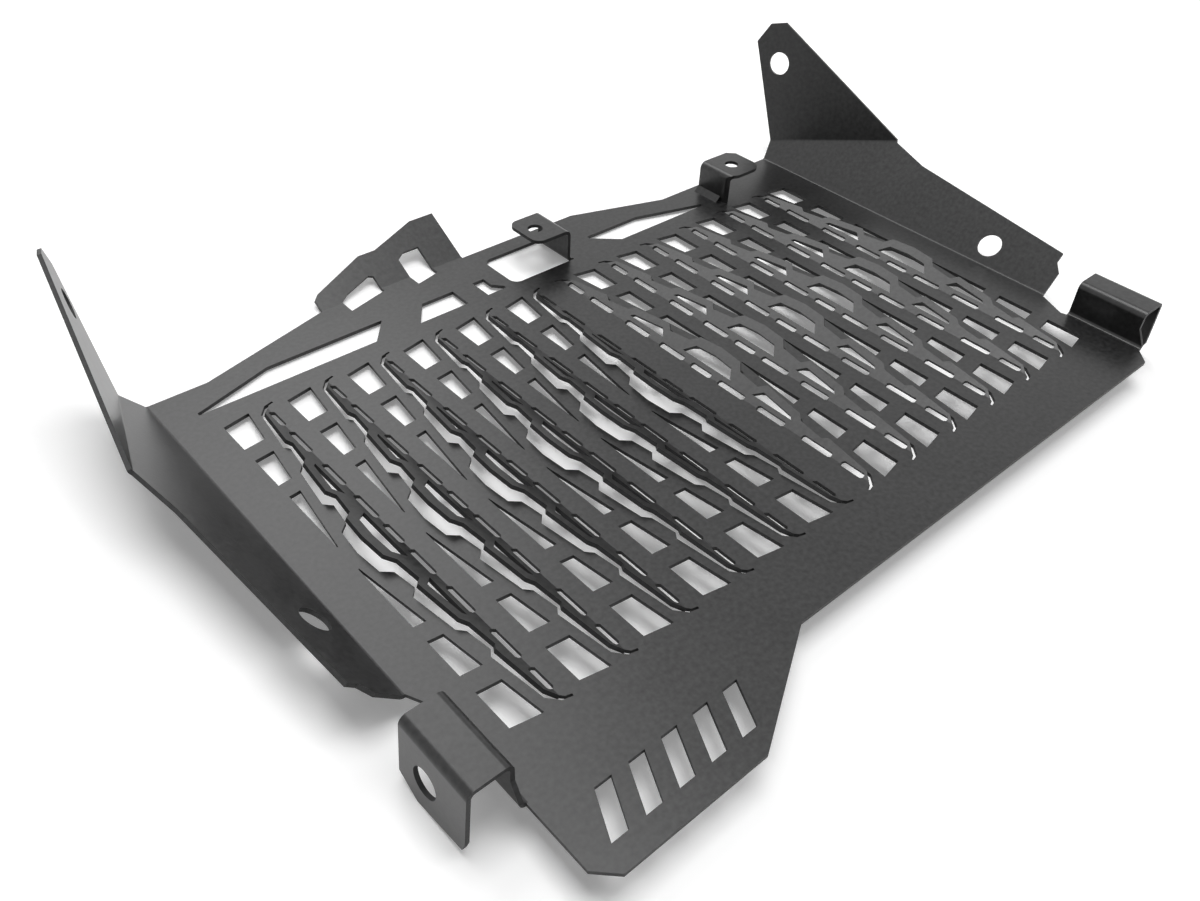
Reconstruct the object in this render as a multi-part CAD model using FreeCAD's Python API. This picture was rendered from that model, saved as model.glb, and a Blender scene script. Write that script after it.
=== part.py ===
import FreeCAD, Part
import math
import os

# Radiator guard for a motorcycle: one laser-cut and folded steel sheet.
#
# The louvred field covers the radiator. Two wings fold up beside it and end in ears with bolt
# holes, two hat-shaped brackets stand at the near corners, and two small tabs rise near the far
# edge. X runs along the long side, Y away from the near edge and Z up, towards the radiator. The
# origin is the middle of the louvred field, on the upper face of the sheet.

V = FreeCAD.Vector
JOINED = 1e-6             # points closer than this are one point

# Sheet and folds
SHEET = 1.5               # thickness of the steel
FOLD_RADIUS = 1.5         # inside radius of the large folds
ROUND_OUT = FOLD_RADIUS + SHEET   # their outside radius
DRILL = 4 * SHEET         # length of the tool that cuts a hole through one wall

# Louvred field: columns that mirror about the middle, each with a flap and a row of windows.
# The two halves of a column are alike, so lengths along it count outwards from its middle.
COLUMNS = 6               # columns on each side
PITCH = 25.0              # from one column to the next
FIRST_HINGE = 7.3         # middle of the sheet to the hinge of the first flap
WINDOW_SIDE = 17.3        # hinge to the straight side of the windows
RIB_MIDDLE = 17.73        # hinge to the slanting side of the windows, at the middle of a column
RIB_SLOPE = 0.132         # how fast that side comes nearer to the hinge
BAR_SLOPE = 0.12          # slant of the bars between the windows
END_SLOPE = 0.19          # slant of the outermost edge of the windows
BARS = (6.0, 6.9, 7.3)    # bar before each window: half of the middle bar, then the others
WINDOWS = (29.9, 16.1, 15.3)   # lengths of the windows
FIELD_X = FIRST_HINGE + (COLUMNS - 1) * PITCH + WINDOW_SIDE   # middle to the last windows
FIELD_Y = sum(BARS) + sum(WINDOWS)   # middle to the end of a column

# Flaps: a crown in the middle, then recess, tooth, recess, tooth and hook towards each end
FLAP_ANGLE = 28.0         # a flap stands up by this angle
SLIT = 0.9                # width of the cut round a flap
CROWN_END = 11.0          # half length of the crown
LEVELS = (9.2, 18.5, 9.9, 20.7)   # inner recess, inner tooth, outer recess, outer tooth
RAMPS = (3.0, 2.8, 2.5, 2.2, 3.8)   # slanting stretches before each of them and before the hook
CROWN_RIB = 4.0           # strip of sheet between a window and the middle of the crown
TOOTH_RIB = 3.5           # the same at the ends of the crown and at the teeth
RECESS_RIBS = (6.5, 5.4)  # the same at the inner and the outer recess
HOOK_SLIT = 1.5           # width of the slit along the slanting ends of a flap
HOOK_TURN = 0.4           # hinge to the point where the slit turns in
HOOK_END = (3.0, 0.9)     # end of the slit: past the hinge, and past that turn
CROWN_HOLE_SLANT = 1.7    # the ends of the crown's hole slant by this about the crown's ends
TOOTH_HOLE_IN = (-2.0, 1.2)   # ends of a tooth's hole from the tooth's, on the hinge side
TOOTH_HOLE_OUT = (1.2, 2.6)   # the same on the free side
HOLE_FROM_HINGE = 3.5     # hinge to the holes of a flap
CROWN_BORDER = 4.1        # metal between the crown's hole and the free edge
TOOTH_BORDER = 3.0        # metal between a tooth's hole and the free edge
SLOTS = (5.3, 13.4, 13.4, 13.6, 9.7)   # slots in the hinge: half of the middle one, the others
WEBS = (4.0, 6.6, 8.4, 4.55)   # webs that are left between them
PERF_REACH = (0.85, 1.65) # sides of the slots, before and past the hinge
PERF_CORNER = 0.7         # the slots' corners are cut by this

# Outline of the flat sheet
SIDE_MARGIN = 15.8        # louvred field to the fold of a wing
FAR_BAR = 11.5            # louvred field to the far openings
OPENING_WIDTH = 11.2      # of the far openings, along Y
FAR_MARGIN = 4.8          # far openings to the far edge
NEAR_MARGIN = 26.4        # louvred field to the near edge
CREST_RISE = 14.6         # rise of the far edge in its middle
LEFT_SHOULDER = 23.4      # level far edge beside the left wing
RIGHT_SHOULDER = 72.9     # level far edge beside the right wing
RIGHT_SLOPE = 45.6        # length over which the far edge falls, on the right
NEAR_CORNER_CUT = 5.9     # corner cut from the sheet beside the right bracket
WING_FOLD_X = FIELD_X + SIDE_MARGIN   # middle of the sheet to the fold of a wing
OPENING_LOW_Y = FIELD_Y + FAR_BAR
OPENING_HIGH_Y = OPENING_LOW_Y + OPENING_WIDTH
FAR_EDGE_Y = OPENING_HIGH_Y + FAR_MARGIN
CREST_Y = FAR_EDGE_Y + CREST_RISE
NEAR_EDGE_Y = -FIELD_Y - NEAR_MARGIN

# Near tab, with plain slanting slots
VENTS = 5
VENT_PITCH = 12.0
VENT_WIDTH = 6.0
VENT_LENGTH = 14.5        # along Y
VENT_SLANT = 7.0
VENT_SIDE = 9.2           # left side of the tab to the first slot
VENT_END = 8.0            # near end of the tab to the slots
NEAR_TAB_INSET = 5.2      # fold of the left wing to the left side of the tab
NEAR_TAB_REACH = 24.4     # near edge of the sheet to the end of the tab
NEAR_TAB_CUT = 6.3        # corner cut from the tab
NEAR_TAB_RIGHT = 4.5      # its near end stops short of the last slot's corner
NEAR_TAB_SLOPE = 42.5     # its right side slants back over this length
NEAR_TAB_LEFT_X = -WING_FOLD_X + NEAR_TAB_INSET
NEAR_TAB_TIP_Y = NEAR_EDGE_Y - NEAR_TAB_REACH
VENT_FIRST_X = NEAR_TAB_LEFT_X + VENT_SIDE

# Small tabs for M6 screws
TAB_TOP_Z = 14.5          # height of their upper face
TAB_HOLE_SIZE = 6.6
TAB_WIDTH = 20.5          # along Y
MIDDLE_TAB_WALL_X = 19.9  # left face of the wall
MIDDLE_TAB_MARGIN = 9.0   # tab to the far edge
MIDDLE_TAB_REACH = 17.1   # wall to the end of the tab
MIDDLE_TAB_CORNER = 4.5
MIDDLE_TAB_HOLE = 10.0    # wall to the hole
MIDDLE_WINDOW_GAP = 1.0   # between the tab's cut sides and its window
MIDDLE_WINDOW_REACH = 30.1   # wall to the far end of the window
MIDDLE_WINDOW_CORNER = 4.0
SIDE_TAB_INSET = 51.8     # fold of the right wing to the left face of the wall
SIDE_TAB_MARGIN = 3.5     # tab to the far edge
SIDE_TAB_REACH = 21.0
SIDE_TAB_CORNER = 6.0
SIDE_TAB_CUT = 3.5        # cut corner at the far end
SIDE_TAB_HOLE = 10.6
SIDE_TAB_BEAD = 2.6       # weld bead along its foot
SIDE_TAB_WALL_X = WING_FOLD_X - SIDE_TAB_INSET

# Far openings, above the louvred field
LONG_LEFT_INSET = 12.4    # fold of the left wing to the tip of the long left opening
LONG_LEFT_TIP = 32.5      # length of its slanting tip
LONG_LEFT_END = (-69.5, -79.0)   # its right end, high and low
SHORT_LEFT = (-58.5, -50.0, -34.7)   # low left, high left, right side
NOTCHED = (-24.4, -18.7, -14.9)   # left side, high right, low right
NOTCH_DEPTH = 5.6         # of the notch in its high side
LONG_RIGHT_START = (40.2, 51.5)   # left end of the long right opening, high and low
LONG_RIGHT_INSET = 9.1    # its tip to the wall of the side tab
LONG_RIGHT_TIP = 34.2     # length of its slanting tip
SLANT_END = 1.4           # blunt end of the slanting tips
LONG_RIGHT_LIP = 1.8      # blunt end at the upper left of the right one

# Far tab, folded up from the far edge, with two windows that the fold crosses
FAR_TAB_ANGLE = 30.0
FAR_TAB_LIP = 0.9         # far edge to the fold
FAR_TAB_LEFT = -84.8
FAR_TAB_RIGHT = -15.4
FAR_TAB_TAIL = 2.2        # the far edge starts to fall this far left of the tab
FAR_TAB_REACH = 24.4      # fold to the top of the tab
FAR_TAB_STEP = 17.2       # fold to the lower step of its top
FAR_TAB_SIDE = (5.4, 7.4)   # height of its left side, and of the end of the cut above it
FAR_TAB_TOP_LEFT = (2.2, 27.2, 35.5)   # corners of the top, from the left side
FAR_TAB_TOP_RIGHT = 11.9  # the last one, from the right side
FIN_WINDOW = (9.8, 13.8, 26.4, 28.3)   # corners, from the tab's left side
FIN_HEIGHTS = (2.9, 7.2, 6.3)   # heights of the last three above the fold
FIN_LOW = (7.2, 2.4)      # depths of its left and right side below the fold
TALL_WINDOW = (26.8, 22.8, 15.3)   # corners, from the tab's right side
TALL_HEIGHTS = (9.4, 11.7)   # heights of the left side and of the top above the fold
TALL_LOW = (6.7, 4.0)     # depths of its left and right side below the fold
FAR_TAB_FOLD_Y = CREST_Y + FAR_TAB_LIP

# Hat brackets at the near corners
BRACKET_INSET = 4.4       # fold of a wing to the rising wall
BRACKET_SPAN = 14.8       # rising wall to the top of the outer wall
BRACKET_SPLAY = 1.832     # the outer wall's foot stands this far outside its top
BRACKET_TOP_Z = 15.0      # height of its upper face
BRACKET_WIDTH = 29.4      # along Y
ROOT_MARGIN = 5.8         # near edge of the sheet to the near end of the root
ROOT_EXTRA = 3.5          # the root is wider than the bracket by this
ROOT_RISE = (1.0, 7.5)    # heights between which the near edge slants
BRACKET_FOOT_Z = -11.2    # lowest point of the outer wall
FOOT_FAR = (8.4, 4.6)     # corner cut from the foot at its far end
FOOT_NEAR_Z = -9.3        # the foot is less deep at its near end
FOOT_NEAR = (1.1, 3.4)    # corner cut from the foot at its near end
BRACKET_HOLE = (17.6, 0.4)   # from the bracket's near edge, height
BRACKET_HOLE_SIZE = 10.2
BRACKET_WALL_X = WING_FOLD_X - BRACKET_INSET
BRACKET_ROOT_Y = NEAR_EDGE_Y + ROOT_MARGIN
BRACKET_NEAR_Y = BRACKET_ROOT_Y + ROOT_EXTRA
BRACKET_FAR_Y = BRACKET_NEAR_Y + BRACKET_WIDTH

# Wings and ears
RELIEF = (6.6, 2.5)       # inmost point of the gap to the bracket: from the fold, from the bracket
WING_GAP = 12.4           # that point to the near end of the wing's fold
WING_ANGLE = 45.0
WING_STEP = (11.5, 15.5)  # the step in its near end, from the fold
WING_STEP_DEPTH = 3.5
WING_WIDTH_NEAR = 19.8    # fold to the outer edge, at the near end
WING_HOLE = (9.5, 33.6)   # bolt hole: from the fold, from the near end
BOLT_HOLE = 10.8          # diameter of the wing and ear holes
EAR_ANGLE = 37.6
EAR_FOLD_INNER = (10.2, 3.0)   # far end of the ear's fold: from the wing's fold, past the far edge
EAR_FOLD_OUTER = (35.6, 62.5)   # its outer end: from the wing's fold, back from the far end
WING_KINK = (29.6, 19.4)  # kink of the outer edge: from the wing's fold, back from the ear
EAR_HEIGHT = 56.3         # fold to the tip
EAR_SHOULDER = 48.6       # fold to the shoulder
EAR_LEAN = 5.5            # the ear's far edge leans out by this at the shoulder
EAR_TIP = (2.4, 10.4)     # the blunt tip, from the far end of the fold
EAR_HOLE = (6.0, 37.4)    # bolt hole: from the far end of the fold, above the fold
RELIEF_Y = BRACKET_FAR_Y + RELIEF[1]
WING_NEAR_Y = RELIEF_Y + WING_GAP


def outline(points):
    """Closed wire through (x, y) or (x, y, corner radius)."""
    count = len(points)
    edges = []
    ends = []
    for i, point in enumerate(points):
        corner = V(point[0], point[1], 0)
        radius = point[2] if len(point) > 2 else 0
        if not radius:
            ends.append((corner, corner))
            continue
        before = V(*points[i - 1][:2], 0) - corner
        after = V(*points[(i + 1) % count][:2], 0) - corner
        before.normalize()
        after.normalize()
        half = before.getAngle(after) / 2
        reach = radius / math.tan(half)
        inward = before + after
        inward.normalize()
        middle = corner + inward * (radius / math.sin(half) - radius)
        start = corner + before * reach
        end = corner + after * reach
        edges.append(Part.Arc(start, middle, end).toShape())
        ends.append((start, end))
    for i in range(count):
        start = ends[i][1]
        end = ends[(i + 1) % count][0]
        if start.distanceToPoint(end) > JOINED:
            edges.append(Part.LineSegment(start, end).toShape())
    return Part.Wire(Part.__sortEdges__(edges))


def circle(x, y, diameter):
    return Part.Wire(Part.makeCircle(diameter / 2, V(x, y, 0)))


def plate(border, holes=()):
    """A flat piece of the sheet, whose upper face is at Z = 0."""
    face = Part.makeFace([border] + list(holes), "Part::FaceMakerBullseye")
    return face.extrude(V(0, 0, -SHEET))


def setback(angle):
    """From the sharp corner of a fold to the start of its bend."""
    return FOLD_RADIUS * math.tan(math.radians(angle) / 2)


def bend(start_y, end_y, angle):
    """The round part of an upward fold along the Y axis."""
    x = -setback(angle)
    section = Part.makePolygon([V(x, start_y, -SHEET), V(x, end_y, -SHEET), V(x, end_y, 0),
                                V(x, start_y, 0), V(x, start_y, -SHEET)])
    return Part.Face(section).revolve(V(x, 0, FOLD_RADIUS), V(0, -1, 0), angle)


def crease(start_y, end_y, angle):
    """The sharp bend of a thin web along the Y axis, filled below up to its mitre."""
    turn = math.radians(angle)
    section = [(0, 0), (0, -SHEET), (SHEET * math.tan(turn / 2), -SHEET),
               (SHEET * math.sin(turn), -SHEET * math.cos(turn)), (0, 0)]
    wire = Part.makePolygon([V(x, start_y, z) for x, z in section])
    return Part.Face(wire).extrude(V(0, end_y - start_y, 0))


def fold_line(start, end):
    """Placement whose Y axis runs along a fold in the flat, with X across it, outwards."""
    heading = math.degrees(math.atan2(end[1] - start[1], end[0] - start[0]))
    return FreeCAD.Placement(V(*start, 0), FreeCAD.Rotation(V(0, 0, 1), heading - 90))


def folded_up(angle):
    """Placement of what lies beyond a fold."""
    return FreeCAD.Placement(V(0, 0, 0), FreeCAD.Rotation(V(0, 1, 0), -angle))


def placed(shape, *placements):
    """The shape moved by the last placement first."""
    whole = FreeCAD.Placement()
    for placement in placements:
        whole = whole.multiply(placement)
    return shape.transformed(whole.toMatrix(), True)


def mirrored(shape):
    return shape.mirror(V(0, 0, 0), V(1, 0, 0))


def united(shapes):
    return shapes[0].fuse(shapes[1:]).removeSplitter()


def rib(u):
    """Distance from the hinge to the slanting side of the windows."""
    return RIB_MIDDLE - RIB_SLOPE * abs(u)


def slit_path():
    """Outer side of the slit round a flap, as (distance from hinge, distance from middle)."""
    u = CROWN_END
    half = [(rib(0) - CROWN_RIB, 0), (rib(u) - TOOTH_RIB, u)]
    strips = (RECESS_RIBS[0], TOOTH_RIB, RECESS_RIBS[1], TOOTH_RIB)
    for ramp, level, strip in zip(RAMPS, LEVELS, strips):
        for step in (ramp, level):
            u += step
            half.append((rib(u) - strip, u))
    u += RAMPS[-1]
    half += [(HOOK_TURN, u), (-HOOK_END[0], u + HOOK_END[1])]
    return half[::-1] + [(d, -u) for d, u in half[1:]]


def beside(path):
    """Inner side of the slit: the path moved towards the hinge, further along its hooks."""
    count = len(path) - 1
    gaps = [HOOK_SLIT if i in (1, count - 2) else SLIT for i in range(count)]
    lines = []
    for (x0, y0), (x1, y1), gap in zip(path, path[1:], gaps):
        length = math.hypot(x1 - x0, y1 - y0)
        shift = ((y1 - y0) / length * gap, -(x1 - x0) / length * gap)
        lines.append(((x0 + shift[0], y0 + shift[1]), (x1 + shift[0], y1 + shift[1])))
    moved = [lines[0][0]]
    for (a, b), (c, d) in zip(lines, lines[1:]):
        ab = (b[0] - a[0], b[1] - a[1])
        cd = (d[0] - c[0], d[1] - c[1])
        cross = ab[0] * cd[1] - ab[1] * cd[0]
        along = ((c[0] - a[0]) * cd[1] - (c[1] - a[1]) * cd[0]) / cross
        moved.append((a[0] + along * ab[0], a[1] + along * ab[1]))
    moved.append(lines[-1][1])
    return moved


def crossing(path):
    """How many points of the path lie before the hinge at each end, and where it crosses."""
    before = 1
    while path[before][0] < 0:
        before += 1
    (x0, y0), (x1, y1) = path[before - 1], path[before]
    return before, y0 - (y1 - y0) * x0 / (x1 - x0)


def hinge_slots():
    """Both ends of each slot in a hinge, from the near end to the far end."""
    outward = []
    high = SLOTS[0]
    for web, length in zip(WEBS, SLOTS[1:]):
        low = high + web
        high = low + length
        outward.append((low, high))
    inward = [(-high, -low) for low, high in reversed(outward)]
    return inward + [(-SLOTS[0], SLOTS[0])] + outward


def slot_halves(side):
    """Part of each hinge slot before (-1) or past (1) the hinge, from the near end on."""
    wide = PERF_REACH[0] if side < 0 else PERF_REACH[1]
    points = []
    for low, high in hinge_slots():
        points += [(0, low), (side * (wide - PERF_CORNER), low), (side * wide, low + PERF_CORNER),
                   (side * wide, high - PERF_CORNER), (side * (wide - PERF_CORNER), high), (0, high)]
    return points


def flap_opening(hinge_x):
    """Hole that the flap leaves in the flat sheet, on the right half."""
    outer = slit_path()
    inner = beside(outer)
    before, reach = crossing(inner)
    points = outer + inner[:-before - 1:-1] + [(0, -reach)] + slot_halves(-1)
    points += [(0, reach)] + inner[before - 1::-1]
    return outline([(hinge_x + d, u) for d, u in points])


def flap_holes():
    """The crown's hole and the holes of the two inner teeth, in the flat flap."""
    near = HOLE_FROM_HINGE
    top = rib(0) - CROWN_RIB - SLIT - CROWN_BORDER
    corner = rib(CROWN_END) - TOOTH_RIB - SLIT - CROWN_BORDER
    short = CROWN_END - CROWN_HOLE_SLANT
    long = CROWN_END + CROWN_HOLE_SLANT
    shoulder = top + (corner - top) * short / CROWN_END
    holes = [outline([(near, long), (shoulder, short), (top, 0), (shoulder, -short), (near, -long)])]
    low = CROWN_END + RAMPS[0] + LEVELS[0] + RAMPS[1]
    high = low + LEVELS[1]
    for side in (1, -1):
        inner = [(near, side * u) for u in (low + TOOTH_HOLE_IN[0], high - TOOTH_HOLE_IN[1])]
        outer = [(rib(u) - TOOTH_RIB - SLIT - TOOTH_BORDER, side * u)
                 for u in (low + TOOTH_HOLE_OUT[0], high - TOOTH_HOLE_OUT[1])]
        holes.append(outline([inner[0]] + outer + [inner[1]]))
    return holes


def flap():
    """One flap with the webs of its hinge, bent up, with the hinge on the Y axis."""
    inner = beside(slit_path())
    before, reach = crossing(inner)
    border = outline([(0, reach)] + inner[before:-before] + [(0, -reach)] + slot_halves(1))
    pieces = [placed(plate(border, flap_holes()), folded_up(FLAP_ANGLE))]
    ends = [-reach] + [u for slot in hinge_slots() for u in slot] + [reach]
    for start, end in zip(ends[0::2], ends[1::2]):
        pieces.append(crease(start, end, FLAP_ANGLE))
    return united(pieces)


def window(hinge_x, low, high, side):
    """One window between two bars, on the far (1) or near (-1) half of a column."""
    high_slope = END_SLOPE if high == FIELD_Y else BAR_SLOPE
    corners = []
    for u, slope in ((low, BAR_SLOPE), (high, high_slope)):
        at_rib = (u + slope * (WINDOW_SIDE - RIB_MIDDLE)) / (1 - slope * RIB_SLOPE)
        corners.append((rib(at_rib), at_rib))
    points = [(WINDOW_SIDE, low), corners[0], corners[1], (WINDOW_SIDE, high)]
    return outline([(hinge_x + d, side * u) for d, u in points])


def column_cuts(hinge_x):
    """The opening of one flap and its six windows, on the right half."""
    cuts = [flap_opening(hinge_x)]
    for i in range(len(WINDOWS)):
        high = sum(BARS[:i + 1]) + sum(WINDOWS[:i + 1])
        for side in (1, -1):
            cuts.append(window(hinge_x, high - WINDOWS[i], high, side))
    return cuts


def far_openings():
    low = OPENING_LOW_Y
    high = OPENING_HIGH_Y
    tip = -WING_FOLD_X + LONG_LEFT_INSET
    long_left = [(tip, low), (tip, low + SLANT_END), (tip + LONG_LEFT_TIP, high),
                 (LONG_LEFT_END[0], high), (LONG_LEFT_END[1], low)]
    a, b, c = SHORT_LEFT
    short_left = [(a, low), (b, high), (c, high), (c, low)]
    a, b, c = NOTCHED
    notched = [(a, low), (a, high), (b, high), (b, high - NOTCH_DEPTH), (c, low + SLANT_END), (c, low)]
    tip = SIDE_TAB_WALL_X - LONG_RIGHT_INSET
    start = LONG_RIGHT_START
    long_right = [(start[0], high), (tip - LONG_RIGHT_TIP, high), (tip, low + SLANT_END), (tip, low),
                  (start[1], low), (start[0], high - LONG_RIGHT_LIP)]
    return [outline(points) for points in (long_left, short_left, notched, long_right)]


def middle_tab_window():
    far = CREST_Y - MIDDLE_TAB_MARGIN + MIDDLE_WINDOW_GAP
    near = CREST_Y - MIDDLE_TAB_MARGIN - TAB_WIDTH - MIDDLE_WINDOW_GAP
    root = MIDDLE_TAB_WALL_X + SHEET + FOLD_RADIUS
    end = MIDDLE_TAB_WALL_X - MIDDLE_WINDOW_REACH
    return outline([(root, near), (root, far), (end, far, MIDDLE_WINDOW_CORNER),
                    (end, near, MIDDLE_WINDOW_CORNER)])


def vents():
    low = NEAR_TAB_TIP_Y + VENT_END
    high = low + VENT_LENGTH
    wires = []
    for i in range(VENTS):
        x = VENT_FIRST_X + i * VENT_PITCH
        wires.append(outline([(x, low), (x + VENT_WIDTH, low), (x + VENT_WIDTH + VENT_SLANT, high),
                              (x + VENT_SLANT, high)]))
    return wires


def sheet_border():
    """Outline of the flat sheet, cut back where it bends into a wing, bracket or far tab."""
    wing_x = WING_FOLD_X - setback(WING_ANGLE)
    bracket_x = BRACKET_WALL_X - FOLD_RADIUS
    side = [(bracket_x, BRACKET_ROOT_Y), (bracket_x, BRACKET_FAR_Y), (WING_FOLD_X - RELIEF[0], RELIEF_Y),
            (wing_x, WING_NEAR_Y), (wing_x, FAR_EDGE_Y)]
    fall = WING_FOLD_X - RIGHT_SHOULDER
    far_side = [(fall, FAR_EDGE_Y), (fall - RIGHT_SLOPE, CREST_Y), (FAR_TAB_RIGHT, CREST_Y)]
    fold = FAR_TAB_FOLD_Y
    bend_y = fold - setback(FAR_TAB_ANGLE)
    left, right = FAR_TAB_RIGHT - TALL_WINDOW[0], FAR_TAB_RIGHT - TALL_WINDOW[2]
    tall = [(right, bend_y), (right, fold - TALL_LOW[1]), (left, fold - TALL_LOW[0]), (left, bend_y)]
    left, right = FAR_TAB_LEFT + FIN_WINDOW[0], FAR_TAB_LEFT + FIN_WINDOW[3]
    fin = [(right, bend_y), (right, fold - FIN_LOW[1]), (left, fold - FIN_LOW[0]), (left, bend_y)]
    tab_root = [(FAR_TAB_RIGHT, bend_y)] + tall + fin + [(FAR_TAB_LEFT, bend_y)]
    rise = [(FAR_TAB_LEFT - FAR_TAB_TAIL, CREST_Y), (-WING_FOLD_X + LEFT_SHOULDER, FAR_EDGE_Y)]
    tip_x = VENT_FIRST_X + (VENTS - 1) * VENT_PITCH + VENT_WIDTH - NEAR_TAB_RIGHT
    near = [(NEAR_TAB_LEFT_X, BRACKET_ROOT_Y), (NEAR_TAB_LEFT_X, NEAR_TAB_TIP_Y + NEAR_TAB_CUT),
            (NEAR_TAB_LEFT_X + NEAR_TAB_CUT, NEAR_TAB_TIP_Y), (tip_x, NEAR_TAB_TIP_Y),
            (tip_x + NEAR_TAB_SLOPE, NEAR_EDGE_Y), (bracket_x - NEAR_CORNER_CUT, NEAR_EDGE_Y)]
    other_side = [(-x, y) for x, y in reversed(side)]
    return outline(side + far_side + tab_root + rise + other_side + near)


def main_sheet():
    holes = far_openings() + vents() + [middle_tab_window()]
    for column in range(COLUMNS):
        cuts = column_cuts(FIRST_HINGE + column * PITCH)
        holes += cuts + [mirrored(cut) for cut in cuts]
    return plate(sheet_border(), holes)


def far_tab():
    """Tab that folds up from the far edge, with the upper parts of its two windows."""
    start = setback(FAR_TAB_ANGLE)
    left = FAR_TAB_LEFT
    right = FAR_TAB_RIGHT
    fin_x = [left + x for x in FIN_WINDOW]
    tall_x = [right - x for x in TALL_WINDOW]
    fin = [(fin_x[0], start)] + list(zip(fin_x[1:], FIN_HEIGHTS)) + [(fin_x[3], start)]
    side, top = TALL_HEIGHTS
    tall = [(tall_x[0], start), (tall_x[0], side), (tall_x[1], top), (tall_x[2], top),
            (tall_x[2], start)]
    cut, step, rise = [left + x for x in FAR_TAB_TOP_LEFT]
    border = [(right, start), (right, FAR_TAB_REACH), (right - FAR_TAB_TOP_RIGHT, FAR_TAB_REACH),
              (rise, FAR_TAB_STEP), (step, FAR_TAB_STEP), (cut, FAR_TAB_SIDE[1]),
              (left, FAR_TAB_SIDE[0]), (left, start)]
    flat = plate(outline([(y, -x) for x, y in border + fin + tall]))
    pieces = [placed(flat, folded_up(FAR_TAB_ANGLE))]
    for low, high in ((left, fin_x[0]), (fin_x[3], tall_x[0]), (tall_x[2], right)):
        pieces.append(bend(-high, -low, FAR_TAB_ANGLE))
    turn = FreeCAD.Placement(V(0, FAR_TAB_FOLD_Y, 0), FreeCAD.Rotation(V(0, 0, 1), 90))
    return placed(united(pieces), turn)


def wing():
    """Right wing with its ear."""
    start = setback(WING_ANGLE)
    inner = (EAR_FOLD_INNER[0], FAR_EDGE_Y + EAR_FOLD_INNER[1])
    outer = (EAR_FOLD_OUTER[0], inner[1] - EAR_FOLD_OUTER[1])
    along = V(*inner, 0) - V(*outer, 0)
    length = along.Length
    along.normalize()
    ear_start = setback(EAR_ANGLE)
    back_x, back_y = along.y * ear_start, -along.x * ear_start
    step_y = WING_NEAR_Y + WING_STEP_DEPTH
    border = outline([(start, WING_NEAR_Y), (WING_STEP[0], WING_NEAR_Y), (WING_STEP[1], step_y),
                      (WING_WIDTH_NEAR, step_y), (WING_KINK[0], outer[1] - WING_KINK[1]),
                      (outer[0] - back_x, outer[1] - back_y), (inner[0] - back_x, inner[1] - back_y),
                      (start, FAR_EDGE_Y)])
    flat = plate(border, [circle(WING_HOLE[0], WING_NEAR_Y + WING_HOLE[1], BOLT_HOLE)])
    lift = folded_up(WING_ANGLE)
    pieces = [placed(flat, lift), bend(WING_NEAR_Y, FAR_EDGE_Y, WING_ANGLE)]

    ear_border = outline([(ear_start, 0), (EAR_HEIGHT, length - EAR_TIP[1]),
                          (EAR_HEIGHT, length - EAR_TIP[0]), (EAR_SHOULDER, length + EAR_LEAN),
                          (ear_start, length)])
    ear = plate(ear_border, [circle(EAR_HOLE[1], length - EAR_HOLE[0], BOLT_HOLE)])
    line = fold_line(outer, inner)
    pieces.append(placed(ear, lift, line, folded_up(EAR_ANGLE)))
    pieces.append(placed(bend(0, length, EAR_ANGLE), lift, line))
    return united(pieces).translated(V(WING_FOLD_X, 0, 0))


def wall_profile(points):
    """Face of a bent strip in the XZ plane, from (x, z, corner radius) round its section."""
    wire = outline(points)
    wire.rotate(V(0, 0, 0), V(1, 0, 0), 90)
    return Part.Face(wire)


def bracket():
    """Right hat bracket: a wall up from the sheet, a flat top and an outer wall that hangs down."""
    wall = BRACKET_WALL_X
    outer = wall + BRACKET_SPAN
    top = BRACKET_TOP_Z
    lean = math.atan2(BRACKET_SPLAY, top - BRACKET_FOOT_Z)
    foot = outer + BRACKET_SPLAY
    inside = outer - SHEET * math.tan(math.pi / 4 - lean / 2)
    level = SHEET / math.cos(lean)
    section = wall_profile([
        (wall - FOLD_RADIUS, 0), (wall, 0, FOLD_RADIUS), (wall, top, ROUND_OUT),
        (outer, top, ROUND_OUT), (foot, BRACKET_FOOT_Z), (foot - level, BRACKET_FOOT_Z),
        (inside, top - SHEET, FOLD_RADIUS), (wall + SHEET, top - SHEET, FOLD_RADIUS),
        (wall + SHEET, -SHEET, ROUND_OUT), (wall - FOLD_RADIUS, -SHEET)])
    near = BRACKET_NEAR_Y
    root = BRACKET_ROOT_Y
    far = BRACKET_FAR_Y
    section.translate(V(0, root, 0))
    strip = section.extrude(V(0, far - root, 0))
    middle = (wall + outer) / 2
    inner_half = [(root, -SHEET), (far, -SHEET), (far, top), (near, top), (near, ROOT_RISE[1]),
                  (root, ROOT_RISE[0])]
    outer_half = [(near + FOOT_NEAR[0], FOOT_NEAR_Z), (far - FOOT_FAR[0], BRACKET_FOOT_Z),
                  (far, BRACKET_FOOT_Z + FOOT_FAR[1]), (far, top), (near, top),
                  (near, FOOT_NEAR_Z + FOOT_NEAR[1])]
    shapes = []
    for points, start, end in ((inner_half, wall - FOLD_RADIUS, middle), (outer_half, middle, foot)):
        wire = Part.makePolygon([V(start, y, z) for y, z in points + points[:1]])
        keep = Part.Face(wire).extrude(V(end - start, 0, 0))
        shapes.append(strip.common(keep))
    z = BRACKET_HOLE[1]
    face = outer + (top - z) * math.tan(lean)
    outwards = V(math.cos(lean), 0, math.sin(lean))
    start = V(face, near + BRACKET_HOLE[0], z) - outwards * (DRILL / 2)
    return united(shapes).cut(Part.makeCylinder(BRACKET_HOLE_SIZE / 2, DRILL, start, outwards))


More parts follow.
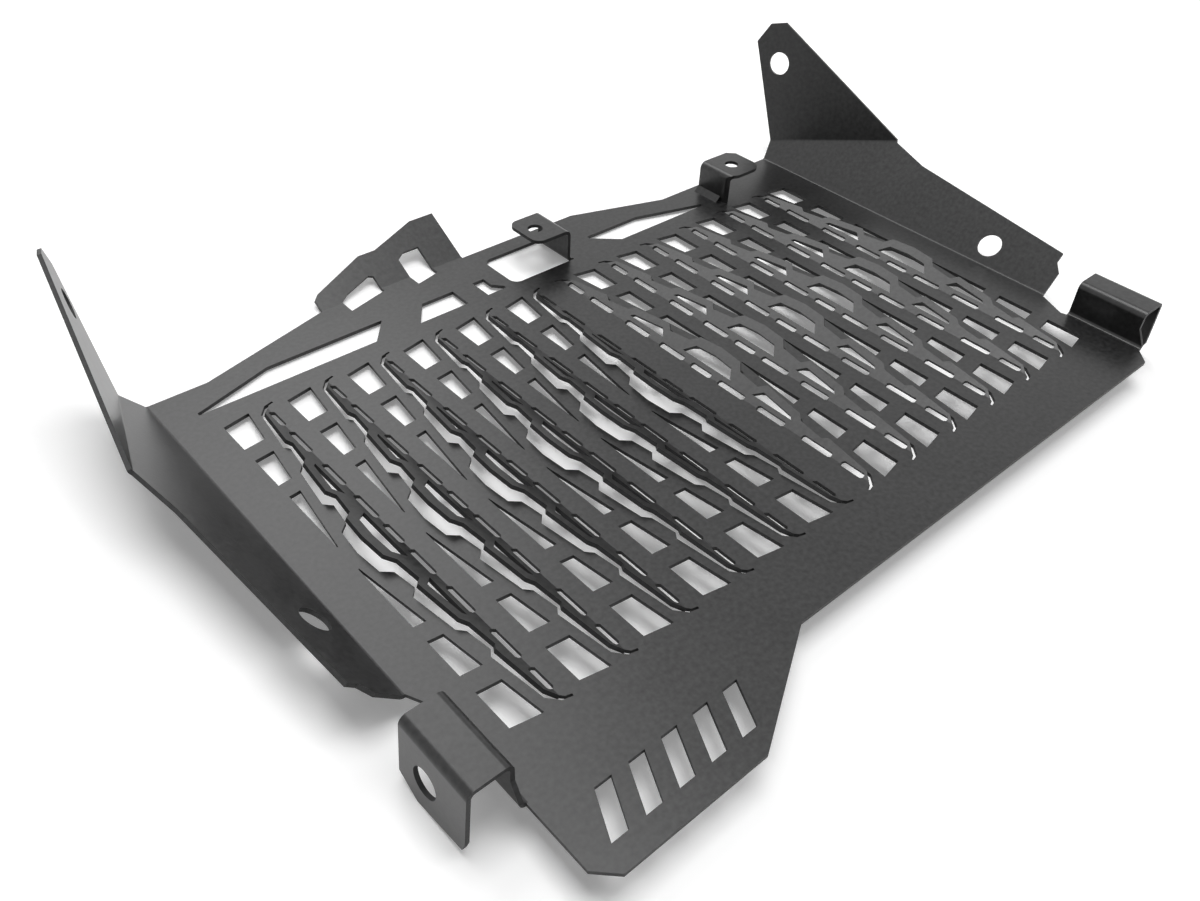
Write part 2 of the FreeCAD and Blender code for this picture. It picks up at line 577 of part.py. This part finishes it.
def tab_blank(points, hole_x, near_y):
    """Strip with the given section, trimmed later, with its M6 hole."""
    section = wall_profile(points)
    section.translate(V(0, near_y, 0))
    strip = section.extrude(V(0, TAB_WIDTH, 0))
    low = V(hole_x, near_y + TAB_WIDTH / 2, TAB_TOP_Z - DRILL / 2)
    return strip.cut(Part.makeCylinder(TAB_HOLE_SIZE / 2, DRILL, low))


def middle_tab():
    """Tab cut free from its window: a wall up from the sheet, then flat to the left."""
    left = MIDDLE_TAB_WALL_X
    right = left + SHEET
    root = right + FOLD_RADIUS
    end = left - MIDDLE_TAB_REACH
    top = TAB_TOP_Z
    far = CREST_Y - MIDDLE_TAB_MARGIN
    near = far - TAB_WIDTH
    blank = tab_blank([(root, 0), (right, 0, FOLD_RADIUS), (right, top, ROUND_OUT), (end, top),
                       (end, top - SHEET), (left, top - SHEET, FOLD_RADIUS),
                       (left, -SHEET, ROUND_OUT), (root, -SHEET)], left - MIDDLE_TAB_HOLE, near)
    shape = outline([(root, near), (root, far), (end, far, MIDDLE_TAB_CORNER),
                     (end, near, MIDDLE_TAB_CORNER)])
    keep = Part.Face(shape).extrude(V(0, 0, top + SHEET)).translated(V(0, 0, -SHEET))
    return blank.common(keep)


def side_tab():
    """Angle welded to the sheet: a short wall, then flat to the right."""
    left = SIDE_TAB_WALL_X
    end = left + SIDE_TAB_REACH
    top = TAB_TOP_Z
    far = FAR_EDGE_Y - SIDE_TAB_MARGIN
    near = far - TAB_WIDTH
    blank = tab_blank([(left, 0), (left, top, ROUND_OUT), (end, top), (end, top - SHEET),
                       (left + SHEET, top - SHEET, FOLD_RADIUS), (left + SHEET, 0)],
                      left + SIDE_TAB_HOLE, near)
    shape = outline([(left, near, SIDE_TAB_CORNER), (end, near, SIDE_TAB_CORNER),
                     (end, far - SIDE_TAB_CUT), (end - SIDE_TAB_CUT, far), (left, far)])
    keep = Part.Face(shape).extrude(V(0, 0, top))
    bead = wall_profile([(left - SIDE_TAB_BEAD, 0), (left, SIDE_TAB_BEAD),
                         (left + SHEET, SIDE_TAB_BEAD), (left + SHEET, 0)])
    bead.translate(V(0, near + SIDE_TAB_CORNER, 0))
    bead = bead.extrude(V(0, TAB_WIDTH - SIDE_TAB_CORNER, 0))
    return united([blank.common(keep), bead])


def guard():
    bent = flap()
    flaps = [bent.translated(V(FIRST_HINGE + column * PITCH, 0, 0)) for column in range(COLUMNS)]
    right = flaps + [wing(), bracket()]
    left = [mirrored(shape) for shape in right]
    return united([main_sheet()] + right + left + [far_tab(), middle_tab(), side_tab()])


os.makedirs("parts", exist_ok=True)
whole = guard()
box = whole.BoundBox
print("solids", len(whole.Solids), "valid", whole.isValid(), "volume", round(whole.Volume))
print("x", round(box.XMin, 1), round(box.XMax, 1), "y", round(box.YMin, 1), round(box.YMax, 1),
      "z", round(box.ZMin, 1), round(box.ZMax, 1))
whole.Solids[0].exportStep("parts/radiator_guard.step")
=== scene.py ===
# %% [markdown]
# # A motorcycle radiator guard
# One steel sheet, cut by laser, folded and coated in black powder, lies on a pale floor with its
# louvred field up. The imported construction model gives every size. This lesson turns it into a
# finished object: it sets out the louvres, rounds the cut edges, coats the steel and lights it.

# %% Open the construction model
import math

import bmesh
import bpy
from mathutils import Matrix, Vector


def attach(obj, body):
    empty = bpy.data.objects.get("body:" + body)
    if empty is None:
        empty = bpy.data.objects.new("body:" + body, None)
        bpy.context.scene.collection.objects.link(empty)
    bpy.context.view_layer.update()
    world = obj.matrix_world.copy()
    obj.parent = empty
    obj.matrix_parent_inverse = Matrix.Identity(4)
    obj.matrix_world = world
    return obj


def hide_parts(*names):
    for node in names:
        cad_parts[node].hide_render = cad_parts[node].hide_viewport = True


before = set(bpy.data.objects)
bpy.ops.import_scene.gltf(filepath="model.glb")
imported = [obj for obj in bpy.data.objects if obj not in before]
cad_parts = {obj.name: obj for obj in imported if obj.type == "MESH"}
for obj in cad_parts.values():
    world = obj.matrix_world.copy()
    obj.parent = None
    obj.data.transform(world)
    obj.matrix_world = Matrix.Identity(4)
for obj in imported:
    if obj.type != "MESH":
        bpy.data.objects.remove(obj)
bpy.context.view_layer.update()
MM = 0.001


# %% [markdown]
# ## The grain of the coat
# The real finish is a baked polyester powder. It flows out to an even skin with a fine grain, too
# small to see as bumps but enough to spread a highlight. One flat colour would look like plastic,
# and a picture of a coat would show its seams and its pixels from nearby. So two sizes of noise
# are worked out from the place on the guard and mixed into one mask, and the mask gives the
# colour and the roughness. The nodes are kept in a group with named sockets, so that another
# coat only needs other values.

# %% A node group with named sockets
def add_sockets(tree, in_out, kinds):
    for name, kind in kinds.items():
        tree.interface.new_socket(name=name, in_out=in_out, socket_type="NodeSocket" + kind)


coat_grain = bpy.data.node_groups.new("coat_grain", "ShaderNodeTree")
add_sockets(coat_grain, "INPUT", {
    "Position": "Vector", "Dark": "Color", "Light": "Color", "Grains per metre": "Float",
    "Roughness": "Float", "Roughness spread": "Float", "Cut face": "Float",
    "Cut roughness": "Float"})
add_sockets(coat_grain, "OUTPUT", {"Color": "Color", "Roughness": "Float", "Height": "Float"})
print("node group:", coat_grain.name, [item.name for item in coat_grain.interface.items_tree])

# %% Two sizes of noise, mixed into one mask
FINE_DETAIL = 1.0
CLOUD_DETAIL = 2.0
CLOUDS_PER_METRE = 45.0
FINE_SHARE = 0.75
MASK_FROM, MASK_TO = 0.25, 0.75    # the noise seldom leaves this range


def feed(tree, sockets, values):
    """Links another node's output to a socket, or sets a plain value on the socket itself."""
    for name, value in values.items():
        if isinstance(value, bpy.types.NodeSocket):
            tree.links.new(value, sockets[name])
        else:
            sockets[name].default_value = value


def calculate(tree, operation, *values):
    node = tree.nodes.new("ShaderNodeMath")
    node.operation = operation
    feed(tree, node.inputs, dict(enumerate(values)))
    return node.outputs[0]


def noise(tree, position, scale, detail):
    node = tree.nodes.new("ShaderNodeTexNoise")
    feed(tree, node.inputs, {"Vector": position, "Scale": scale, "Detail": detail})
    return node.outputs["Fac"]


given = coat_grain.nodes.new("NodeGroupInput").outputs
fine = noise(coat_grain, given["Position"], given["Grains per metre"], FINE_DETAIL)
cloud = noise(coat_grain, given["Position"], CLOUDS_PER_METRE, CLOUD_DETAIL)
cloud_share = calculate(coat_grain, "MULTIPLY", cloud, 1 - FINE_SHARE)
both_sizes = calculate(coat_grain, "MULTIPLY_ADD", fine, FINE_SHARE, cloud_share)
stretch = coat_grain.nodes.new("ShaderNodeMapRange")
feed(coat_grain, stretch.inputs, {"Value": both_sizes, "From Min": MASK_FROM, "From Max": MASK_TO})
mask = stretch.outputs["Result"]
print("mask: nodes", len(coat_grain.nodes), "links", len(coat_grain.links))

# %% Colour, roughness and height of the coat
MASK_MIDDLE = 0.5

colour = coat_grain.nodes.new("ShaderNodeMix")
colour.data_type = "RGBA"
feed(coat_grain, colour.inputs, {"Factor": mask, "A": given["Dark"], "B": given["Light"]})
off_middle = calculate(coat_grain, "SUBTRACT", mask, MASK_MIDDLE)
rough = calculate(coat_grain, "MULTIPLY_ADD", off_middle, given["Roughness spread"],
                  given["Roughness"])
rough_or_cut = calculate(coat_grain, "MULTIPLY_ADD", given["Cut face"], given["Cut roughness"],
                         rough)
feed(coat_grain, coat_grain.nodes.new("NodeGroupOutput").inputs, {
    "Color": colour.outputs["Result"], "Roughness": rough_or_cut, "Height": fine})
print("coat:", coat_grain.name, "nodes", len(coat_grain.nodes), "links", len(coat_grain.links))

# %% [markdown]
# ## The black coat
# The coat is nearly black, so what shows of it is mostly its satin sheen. The guard could have a
# second material where the laser cut it, but it is one coat, so there is one material: it reads
# a mark on the cut faces and is rougher there. The grain also ruffles the sheen a little, through
# a bump of a few hundredths of a millimetre. The pattern follows object coordinates, which are
# real metres here, so its size stays right on every part of the sheet.

# %% Black powder coat, the one material of the guard
CUT_FACE = "cut_face"    # name of the mark in the mesh
COAT_SPECULAR = 0.48
BUMP_STRENGTH = 0.35
GRAIN_HEIGHT = 0.04 * MM


def powder_coat():
    material = bpy.data.materials.new("black_powder_coat")
    material.use_nodes = True
    tree = material.node_tree
    place = tree.nodes.new("ShaderNodeTexCoord")
    cut = tree.nodes.new("ShaderNodeAttribute")
    cut.attribute_name = CUT_FACE
    grain = tree.nodes.new("ShaderNodeGroup")
    grain.node_tree = coat_grain
    feed(tree, grain.inputs, {
        "Position": place.outputs["Object"],
        "Dark": (0.001, 0.001, 0.0011, 1),
        "Light": (0.024, 0.024, 0.0243, 1),
        "Grains per metre": 550.0,
        "Roughness": 0.30,
        "Roughness spread": 0.03,
        "Cut face": cut.outputs["Fac"],
        "Cut roughness": 0.30})
    bump = tree.nodes.new("ShaderNodeBump")
    feed(tree, bump.inputs, {"Strength": BUMP_STRENGTH, "Distance": GRAIN_HEIGHT,
                             "Height": grain.outputs["Height"]})
    feed(tree, tree.nodes["Principled BSDF"].inputs, {
        "Base Color": grain.outputs["Color"],
        "Roughness": grain.outputs["Roughness"],
        "Specular IOR Level": COAT_SPECULAR,
        "Normal": bump.outputs["Normal"]})
    return material


black_coat = powder_coat()
print("material:", black_coat.name, "nodes", len(black_coat.node_tree.nodes))

# %% [markdown]
# ## The folded sheet
# The construction model has every fold, hole and slot of the sheet, but as loose triangles with
# sharp edges. A sheet could also be modelled afresh, yet its sizes would then have to be kept
# twice. So the model is left alone and a copy of it is worked on. The corners of its triangles
# are merged first, because a bevel has to know which faces meet at an edge.

# %% A merged copy of the construction mesh
MERGE = 0.002 * MM    # corners nearer to each other than this become one


def merged_shape(mesh):
    shape = bmesh.new()
    shape.from_mesh(mesh)
    bmesh.ops.remove_doubles(shape, verts=shape.verts, dist=MERGE)
    return shape


def open_edges(shape):
    return [edge for edge in shape.edges if edge.is_boundary]


sheet = merged_shape(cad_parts["radiator_guard"].data)
print("sheet: faces", len(sheet.faces), "open edges", len(open_edges(sheet)))

# %% [markdown]
# ## The louvred field
# The grille is one column, repeated: a flap that hangs on the webs between its hinge slots, the
# wavy slit round it and six windows. A laser program cuts it twelve times at an even pitch, six
# to each side of the middle. The copy has all twelve, but nothing in it says that they are alike.
# So one column is cut out of the sheet, and Geometry Nodes set it out again: a line of points,
# the column on each point, and the row mirrored. The number of columns and the pitch are inputs
# of the node tree.

# %% Cut the first column out, and clear the field
COLUMNS = 6                # on each side of the middle
PITCH = 25.0 * MM          # from one column to the next
FIRST_SEAM = 1.9 * MM      # middle of the sheet to the near seam of the first column
COLUMN_END = 84.75 * MM    # middle of the sheet to the seam past the end of a column
ALONG_X, ALONG_Y = 0, 1


def cut_flat(shape, axis, distance, outwards, clear):
    """Cuts the shape square to an axis, and clears what lies further outwards if asked to."""
    normal = Vector((0, 0, 0))
    normal[axis] = outwards
    bmesh.ops.bisect_plane(shape, geom=shape.verts[:] + shape.edges[:] + shape.faces[:], dist=0,
                           plane_co=normal * distance, plane_no=normal, clear_outer=clear)


def one_column(shape):
    column = shape.copy()
    cut_flat(column, ALONG_X, -FIRST_SEAM, -1, True)
    cut_flat(column, ALONG_X, FIRST_SEAM + PITCH, 1, True)
    cut_flat(column, ALONG_Y, COLUMN_END, 1, True)
    cut_flat(column, ALONG_Y, COLUMN_END, -1, True)
    return column


def clear_field(shape):
    field_end = FIRST_SEAM + COLUMNS * PITCH
    for side in (-1, 1):
        cut_flat(shape, ALONG_X, FIRST_SEAM, side, False)
        cut_flat(shape, ALONG_X, field_end, side, False)
        cut_flat(shape, ALONG_Y, COLUMN_END, side, False)
    inside = []
    for face in shape.faces:
        middle = face.calc_center_median()
        if FIRST_SEAM < abs(middle.x) < field_end and abs(middle.y) < COLUMN_END:
            inside.append(face)
    bmesh.ops.delete(shape, geom=inside, context="FACES")


column = one_column(sheet)
clear_field(sheet)
print("column: faces", len(column.faces), "frame of the sheet: faces", len(sheet.faces))

# %% Geometry Nodes: a row of columns and its mirror image
def louvre_row_tree():
    tree = bpy.data.node_groups.new("louvre_row", "GeometryNodeTree")
    add_sockets(tree, "INPUT", {"Column": "Geometry", "Columns on each side": "Int",
                                "Pitch": "Float", "Coat": "Material"})
    add_sockets(tree, "OUTPUT", {"Louvres": "Geometry"})
    given = tree.nodes.new("NodeGroupInput").outputs
    step = tree.nodes.new("ShaderNodeCombineXYZ")
    feed(tree, step.inputs, {"X": given["Pitch"]})
    places = tree.nodes.new("GeometryNodeMeshLine")
    places.mode = "OFFSET"
    feed(tree, places.inputs, {"Count": given["Columns on each side"],
                               "Offset": step.outputs["Vector"]})
    row = tree.nodes.new("GeometryNodeInstanceOnPoints")
    feed(tree, row.inputs, {"Points": places.outputs["Mesh"], "Instance": given["Column"]})
    real = tree.nodes.new("GeometryNodeRealizeInstances")
    feed(tree, real.inputs, {"Geometry": row.outputs["Instances"]})
    mirror = tree.nodes.new("GeometryNodeTransform")
    feed(tree, mirror.inputs, {"Geometry": real.outputs["Geometry"], "Scale": (-1, 1, 1)})
    outwards = tree.nodes.new("GeometryNodeFlipFaces")
    feed(tree, outwards.inputs, {"Mesh": mirror.outputs["Geometry"]})
    both = tree.nodes.new("GeometryNodeJoinGeometry")
    feed(tree, both.inputs, {"Geometry": real.outputs["Geometry"]})
    feed(tree, both.inputs, {"Geometry": outwards.outputs["Mesh"]})
    plain = tree.nodes.new("GeometryNodeRealizeInstances")
    feed(tree, plain.inputs, {"Geometry": both.outputs["Geometry"]})
    coated = tree.nodes.new("GeometryNodeSetMaterial")
    feed(tree, coated.inputs, {"Geometry": plain.outputs["Geometry"], "Material": given["Coat"]})
    feed(tree, tree.nodes.new("NodeGroupOutput").inputs, {"Louvres": coated.outputs["Geometry"]})
    return tree


louvre_row = louvre_row_tree()
print("geometry nodes:", louvre_row.name, "nodes", len(louvre_row.nodes))

# %% Set the columns out, and keep the result as a plain mesh
def set_out(column, tree, values):
    mesh = bpy.data.meshes.new("louvre_column")
    column.to_mesh(mesh)
    column.free()
    piece = bpy.data.objects.new("louvre_field", mesh)
    bpy.context.scene.collection.objects.link(piece)
    modifier = piece.modifiers.new("louvre_row", "NODES")
    modifier.node_group = tree
    for item in tree.interface.items_tree:
        if item.name in values:
            modifier[item.identifier] = values[item.name]
    evaluated = piece.evaluated_get(bpy.context.evaluated_depsgraph_get())
    louvres = bpy.data.meshes.new_from_object(evaluated)
    bpy.data.objects.remove(piece)
    return louvres


louvres = set_out(column, louvre_row,
                  {"Columns on each side": COLUMNS, "Pitch": PITCH, "Coat": black_coat})
print("louvres: faces", len(louvres.polygons), "corners", len(louvres.vertices))

# %% [markdown]
# ## One closed sheet again
# The louvres and the sheet round them are one piece of steel. Left side by side they would look
# joined, but the bevel would see an open edge along every seam. Along a seam, the two don't even
# have the same corners. So each open edge is split where a corner of its neighbour lies on it,
# the corners merge, and flat areas become single faces again. The count of open edges tells
# whether the sheet is closed.

# %% Join the louvres and the sheet round them
FLAT_TURN = math.radians(0.5)    # faces that turn by less become one flat face


def stitch(shape):
    edges = open_edges(shape)
    corners = {corner for edge in edges for corner in edge.verts}
    for edge in edges:
        start = edge.verts[0]
        along = edge.verts[1].co - start.co
        length = along.length
        shares = []
        for corner in corners:
            share = (corner.co - start.co).dot(along) / length ** 2
            off = (start.co + along * share - corner.co).length
            if off < MERGE and MERGE < share * length < length - MERGE:
                shares.append(share)
        rest = 1.0
        for share in sorted(shares, reverse=True):
            cut = bmesh.utils.edge_split(edge, start, share / rest)[1]
            edge = next(link for link in cut.link_edges if start in link.verts)
            rest = share
    bmesh.ops.remove_doubles(shape, verts=shape.verts, dist=MERGE)


def join_louvres(shape, louvres):
    shape.from_mesh(louvres)
    stitch(shape)
    bmesh.ops.recalc_face_normals(shape, faces=shape.faces)
    bmesh.ops.dissolve_limit(shape, angle_limit=FLAT_TURN, verts=shape.verts, edges=shape.edges)


join_louvres(sheet, louvres)
print("joined sheet: faces", len(sheet.faces), "open edges", len(open_edges(sheet)))

# %% [markdown]
# ## The faces that the laser cut
# Where the laser went through, the sheet shows a narrow band, as wide as the steel is thick. The
# coat is thinner and rougher there. There are far too many such faces to pick by hand, but they
# have a shape of their own: the width of the sheet's thickness, and two long sharp edges. They
# are found by that and marked with an attribute, which the coat's material reads.

# %% Find and mark the cut faces
SHEET_THICKNESS = 1.5 * MM
SHARP_TURN = math.radians(25)
WIDTH_TOLERANCE = 0.1        # as a share of the thickness
SHARP_ON_BOTH_SIDES = 1.9    # sharp edges along nearly twice the length of the band


def is_cut_face(face):
    outline = sum(edge.calc_length() for edge in face.edges)
    run = outline / 2 - SHEET_THICKNESS
    if run < MERGE:
        return False
    width = face.calc_area() / run
    sharp = sum(edge.calc_length() for edge in face.edges if edge.calc_face_angle(0.0) > SHARP_TURN)
    return (abs(width / SHEET_THICKNESS - 1) < WIDTH_TOLERANCE
            and sharp > SHARP_ON_BOTH_SIDES * run)


def mark_cut_faces(shape):
    mark = shape.faces.layers.float.new(CUT_FACE)
    count = 0
    for face in shape.faces:
        if is_cut_face(face):
            face[mark] = 1.0
            count += 1
    return count


print("cut faces:", mark_cut_faces(sheet), "of", len(sheet.faces))

# %% [markdown]
# ## Rounded edges
# A laser leaves square edges, and the powder rounds them to about 0.3 mm. That tiny round is what
# catches the light along every slot. The material could fake it with a bevel node, but then the
# outline and the mesh itself would stay square. So a bevel in the mesh rounds each edge that
# turns by more than 25 degrees, and weighted normals keep the flat faces flat. The large folds
# have their own radius already and stay as they are.

# %% The joined shape as an object
def as_piece(shape, name):
    mesh = bpy.data.meshes.new(name)
    shape.to_mesh(mesh)
    shape.free()
    piece = bpy.data.objects.new(name, mesh)
    bpy.context.scene.collection.objects.link(piece)
    return piece


guard = as_piece(sheet, "coated_guard")
print(guard.name, "faces", len(guard.data.polygons), "with square edges")

# %% Round the edges
EDGE_ROUND = 0.3 * MM
ROUND_STEPS = 3
LARGEST_FACE_WINS = 100    # weight of a corner's largest face in its normal


def finish_edges(piece):
    for face in piece.data.polygons:
        face.use_smooth = True
    bevel = piece.modifiers.new("coated_edges", "BEVEL")
    bevel.width = EDGE_ROUND
    bevel.segments = ROUND_STEPS
    bevel.limit_method = "ANGLE"
    bevel.angle_limit = SHARP_TURN
    bevel.use_clamp_overlap = True
    weighted = piece.modifiers.new("flat_faces_stay_flat", "WEIGHTED_NORMAL")
    weighted.mode = "FACE_AREA"
    weighted.weight = LARGEST_FACE_WINS
    evaluated = piece.evaluated_get(bpy.context.evaluated_depsgraph_get())
    mesh = bpy.data.meshes.new_from_object(evaluated)
    piece.modifiers.clear()
    piece.data = mesh
    mesh.materials.clear()
    mesh.materials.append(black_coat)


finish_edges(guard)
print(guard.name, "faces", len(guard.data.polygons), "corners", len(guard.data.vertices))

# %% Put the guard in the place of the construction model's sheet
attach(guard, "root")
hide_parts("radiator_guard")
print(guard.name, "rides on root and stands for radiator_guard")

# %% [markdown]
# ## Floor
# The guard stands on the feet of its brackets and on the underside beside its far tab. It could
# be tilted onto a level floor, but it stays where the construction model has it, and the floor is
# the plane through those three points instead. A white floor under soft light renders grey. More
# light would bleach the guard, so the floor glows a little, only for rays that look at it, and
# far from the guard it glows up to white, so that no horizon shows.

# %% The plane through the three points
FLOOR_POINTS = [Vector((0.1775, -0.078, -0.0112)), Vector((-0.1775, -0.078, -0.0112)),
                Vector((0.0, 0.1236, -0.0016))]
FLOOR_REACH = 6.0    # metres from the middle to each side


def floor_mesh():
    a, b, c = FLOOR_POINTS
    normal = (b - a).cross(c - a).normalized()
    if normal.z < 0:
        normal.negate()
    middle = (a + b + c) / 3
    turn = normal.to_track_quat("Z", "Y").to_matrix()
    corners = [middle + turn @ Vector((x, y, 0)) * FLOOR_REACH
               for x, y in ((-1, -1), (1, -1), (1, 1), (-1, 1))]
    mesh = bpy.data.meshes.new("pale_floor")
    mesh.from_pydata(corners, [], [(0, 1, 2, 3)])
    return mesh


floor_plane = floor_mesh()
slope = floor_plane.polygons[0].normal.angle(Vector((0, 0, 1)))
print("floor: slope", round(math.degrees(slope), 2), "degrees")

# %% The floor's colour and its glow
FLOOR_COLOUR = (0.92, 0.92, 0.92, 1)
FLOOR_ROUGHNESS = 0.9
FLOOR_GLOW = 0.22
GLOW_RISES_FROM, GLOW_RISES_TO = 0.7, 2.0    # metres from the middle of the guard
WHITE = (1, 1, 1, 1)


def seen_ray(tree):
    """1 for rays from the camera, from a reflection or through glass, 0 for the light itself."""
    path = tree.nodes.new("ShaderNodeLightPath").outputs
    seen = calculate(tree, "MAXIMUM", path["Is Camera Ray"], path["Is Glossy Ray"])
    return calculate(tree, "MAXIMUM", seen, path["Is Transmission Ray"])


def floor_material():
    material = bpy.data.materials.new("pale_floor")
    material.use_nodes = True
    tree = material.node_tree
    place = tree.nodes.new("ShaderNodeTexCoord")
    away = tree.nodes.new("ShaderNodeVectorMath")
    away.operation = "LENGTH"
    feed(tree, away.inputs, {0: place.outputs["Object"]})
    rise = tree.nodes.new("ShaderNodeMapRange")
    rise.interpolation_type = "SMOOTHSTEP"
    feed(tree, rise.inputs, {"Value": away.outputs["Value"], "From Min": GLOW_RISES_FROM,
                             "From Max": GLOW_RISES_TO, "To Min": FLOOR_GLOW})
    glow = calculate(tree, "MULTIPLY", rise.outputs["Result"], seen_ray(tree))
    feed(tree, tree.nodes["Principled BSDF"].inputs, {
        "Base Color": FLOOR_COLOUR, "Roughness": FLOOR_ROUGHNESS, "Emission Color": WHITE,
        "Emission Strength": glow})
    return material


floor_white = floor_material()
print("material:", floor_white.name, "nodes", len(floor_white.node_tree.nodes))

# %% Lay the floor
floor = bpy.data.objects.new("pale_floor", floor_plane)
floor.data.materials.append(floor_white)
bpy.context.scene.collection.objects.link(floor)
print(floor.name, "measures", 2 * FLOOR_REACH, "m from side to side")

# %% [markdown]
# ## Light
# The photograph has the light of a white tent: soft from everywhere, strongest from above and
# behind. A single lamp would leave the flaps in hard shadow, and a bright surround alone would
# leave no shadow under them. So the surround lights the guard only weakly, though it is seen as
# plain white, and four area lamps do the rest: above, behind, at the side, and a small one that
# draws a line along the edges.

# %% White surround
SURROUND_LIGHT = 0.12
SURROUND_SEEN = 1.0


def tent_world():
    world = bpy.data.worlds.new("tent")
    bpy.context.scene.world = world
    world.use_nodes = True
    tree = world.node_tree
    lights = tree.nodes["Background"]
    feed(tree, lights.inputs, {"Color": WHITE, "Strength": SURROUND_LIGHT})
    seen = tree.nodes.new("ShaderNodeBackground")
    feed(tree, seen.inputs, {"Color": WHITE, "Strength": SURROUND_SEEN})
    mix = tree.nodes.new("ShaderNodeMixShader")
    feed(tree, mix.inputs, {0: seen_ray(tree), 1: lights.outputs[0], 2: seen.outputs[0]})
    feed(tree, tree.nodes["World Output"].inputs, {"Surface": mix.outputs[0]})
    return world


world = tent_world()
print("surround:", world.name, "lights with", SURROUND_LIGHT, "and is seen as", SURROUND_SEEN)

# %% Soft lamps
LAMP_DISTANCE = 2.2    # metres from the middle of the guard


def softbox(name, towards, size, watts):
    data = bpy.data.lights.new(name, "AREA")
    data.shape = "SQUARE"
    data.size = size
    data.energy = watts
    lamp = bpy.data.objects.new(name, data)
    bpy.context.scene.collection.objects.link(lamp)
    direction = Vector(towards).normalized()
    lamp.location = direction * LAMP_DISTANCE
    lamp.rotation_mode = "QUATERNION"
    lamp.rotation_quaternion = direction.to_track_quat("Z", "Y")
    print("lamp:", name, "size", size, "m, power", watts, "W")


softbox("overhead_softbox", (0.04, 0.0, 1.0), 1.3, 32.0)
softbox("rear_softbox", (0.12, 0.63, 0.77), 1.3, 14.5)
softbox("side_softbox", (0.45, -0.45, 0.77), 1.3, 6.0)
softbox("edge_light", (0.82, -0.3, 0.5), 0.35, 3.0)

# %% Plain colours, with no film look over them
bpy.context.scene.view_settings.view_transform = "Standard"
print("view transform:", bpy.context.scene.view_settings.view_transform)

# %% [markdown]
# ## Camera
# The camera stands where the photographer's stood. It could be moved by eye until the picture
# looks right, but the even pitch of the louvres fixes it far better, so its place, its three
# directions and its focal length were worked out from them. The focal length came out in pixels
# of a picture 1200 wide, and is turned into millimetres here.

# %% Camera at the photograph's viewing angle
EYE = Vector((-254.49, -220.72, 249.48)) * MM
RIGHT = Vector((0.74718, -0.66328, 0.04218))
DOWN = Vector((-0.40938, -0.50931, -0.75697))
FORWARD = Vector((0.52357, 0.54833, -0.65208))
FOCAL_PIXELS = 1088.27
IMAGE_WIDTH = 1200
SENSOR_WIDTH = 36    # millimetres
NEAREST_SEEN = 0.01    # metres from the lens

camera_data = bpy.data.cameras.new("camera")
camera_data.sensor_width = SENSOR_WIDTH
camera_data.lens = FOCAL_PIXELS / IMAGE_WIDTH * SENSOR_WIDTH
camera_data.clip_start = NEAREST_SEEN
camera = bpy.data.objects.new("camera", camera_data)
bpy.context.scene.collection.objects.link(camera)
turn = Matrix((RIGHT, -DOWN, -FORWARD)).transposed().to_4x4()
camera.matrix_world = Matrix.Translation(EYE) @ turn
bpy.context.scene.camera = camera
print("camera: focal length", round(camera_data.lens, 2), "mm, distance", round(EYE.length, 3), "m")
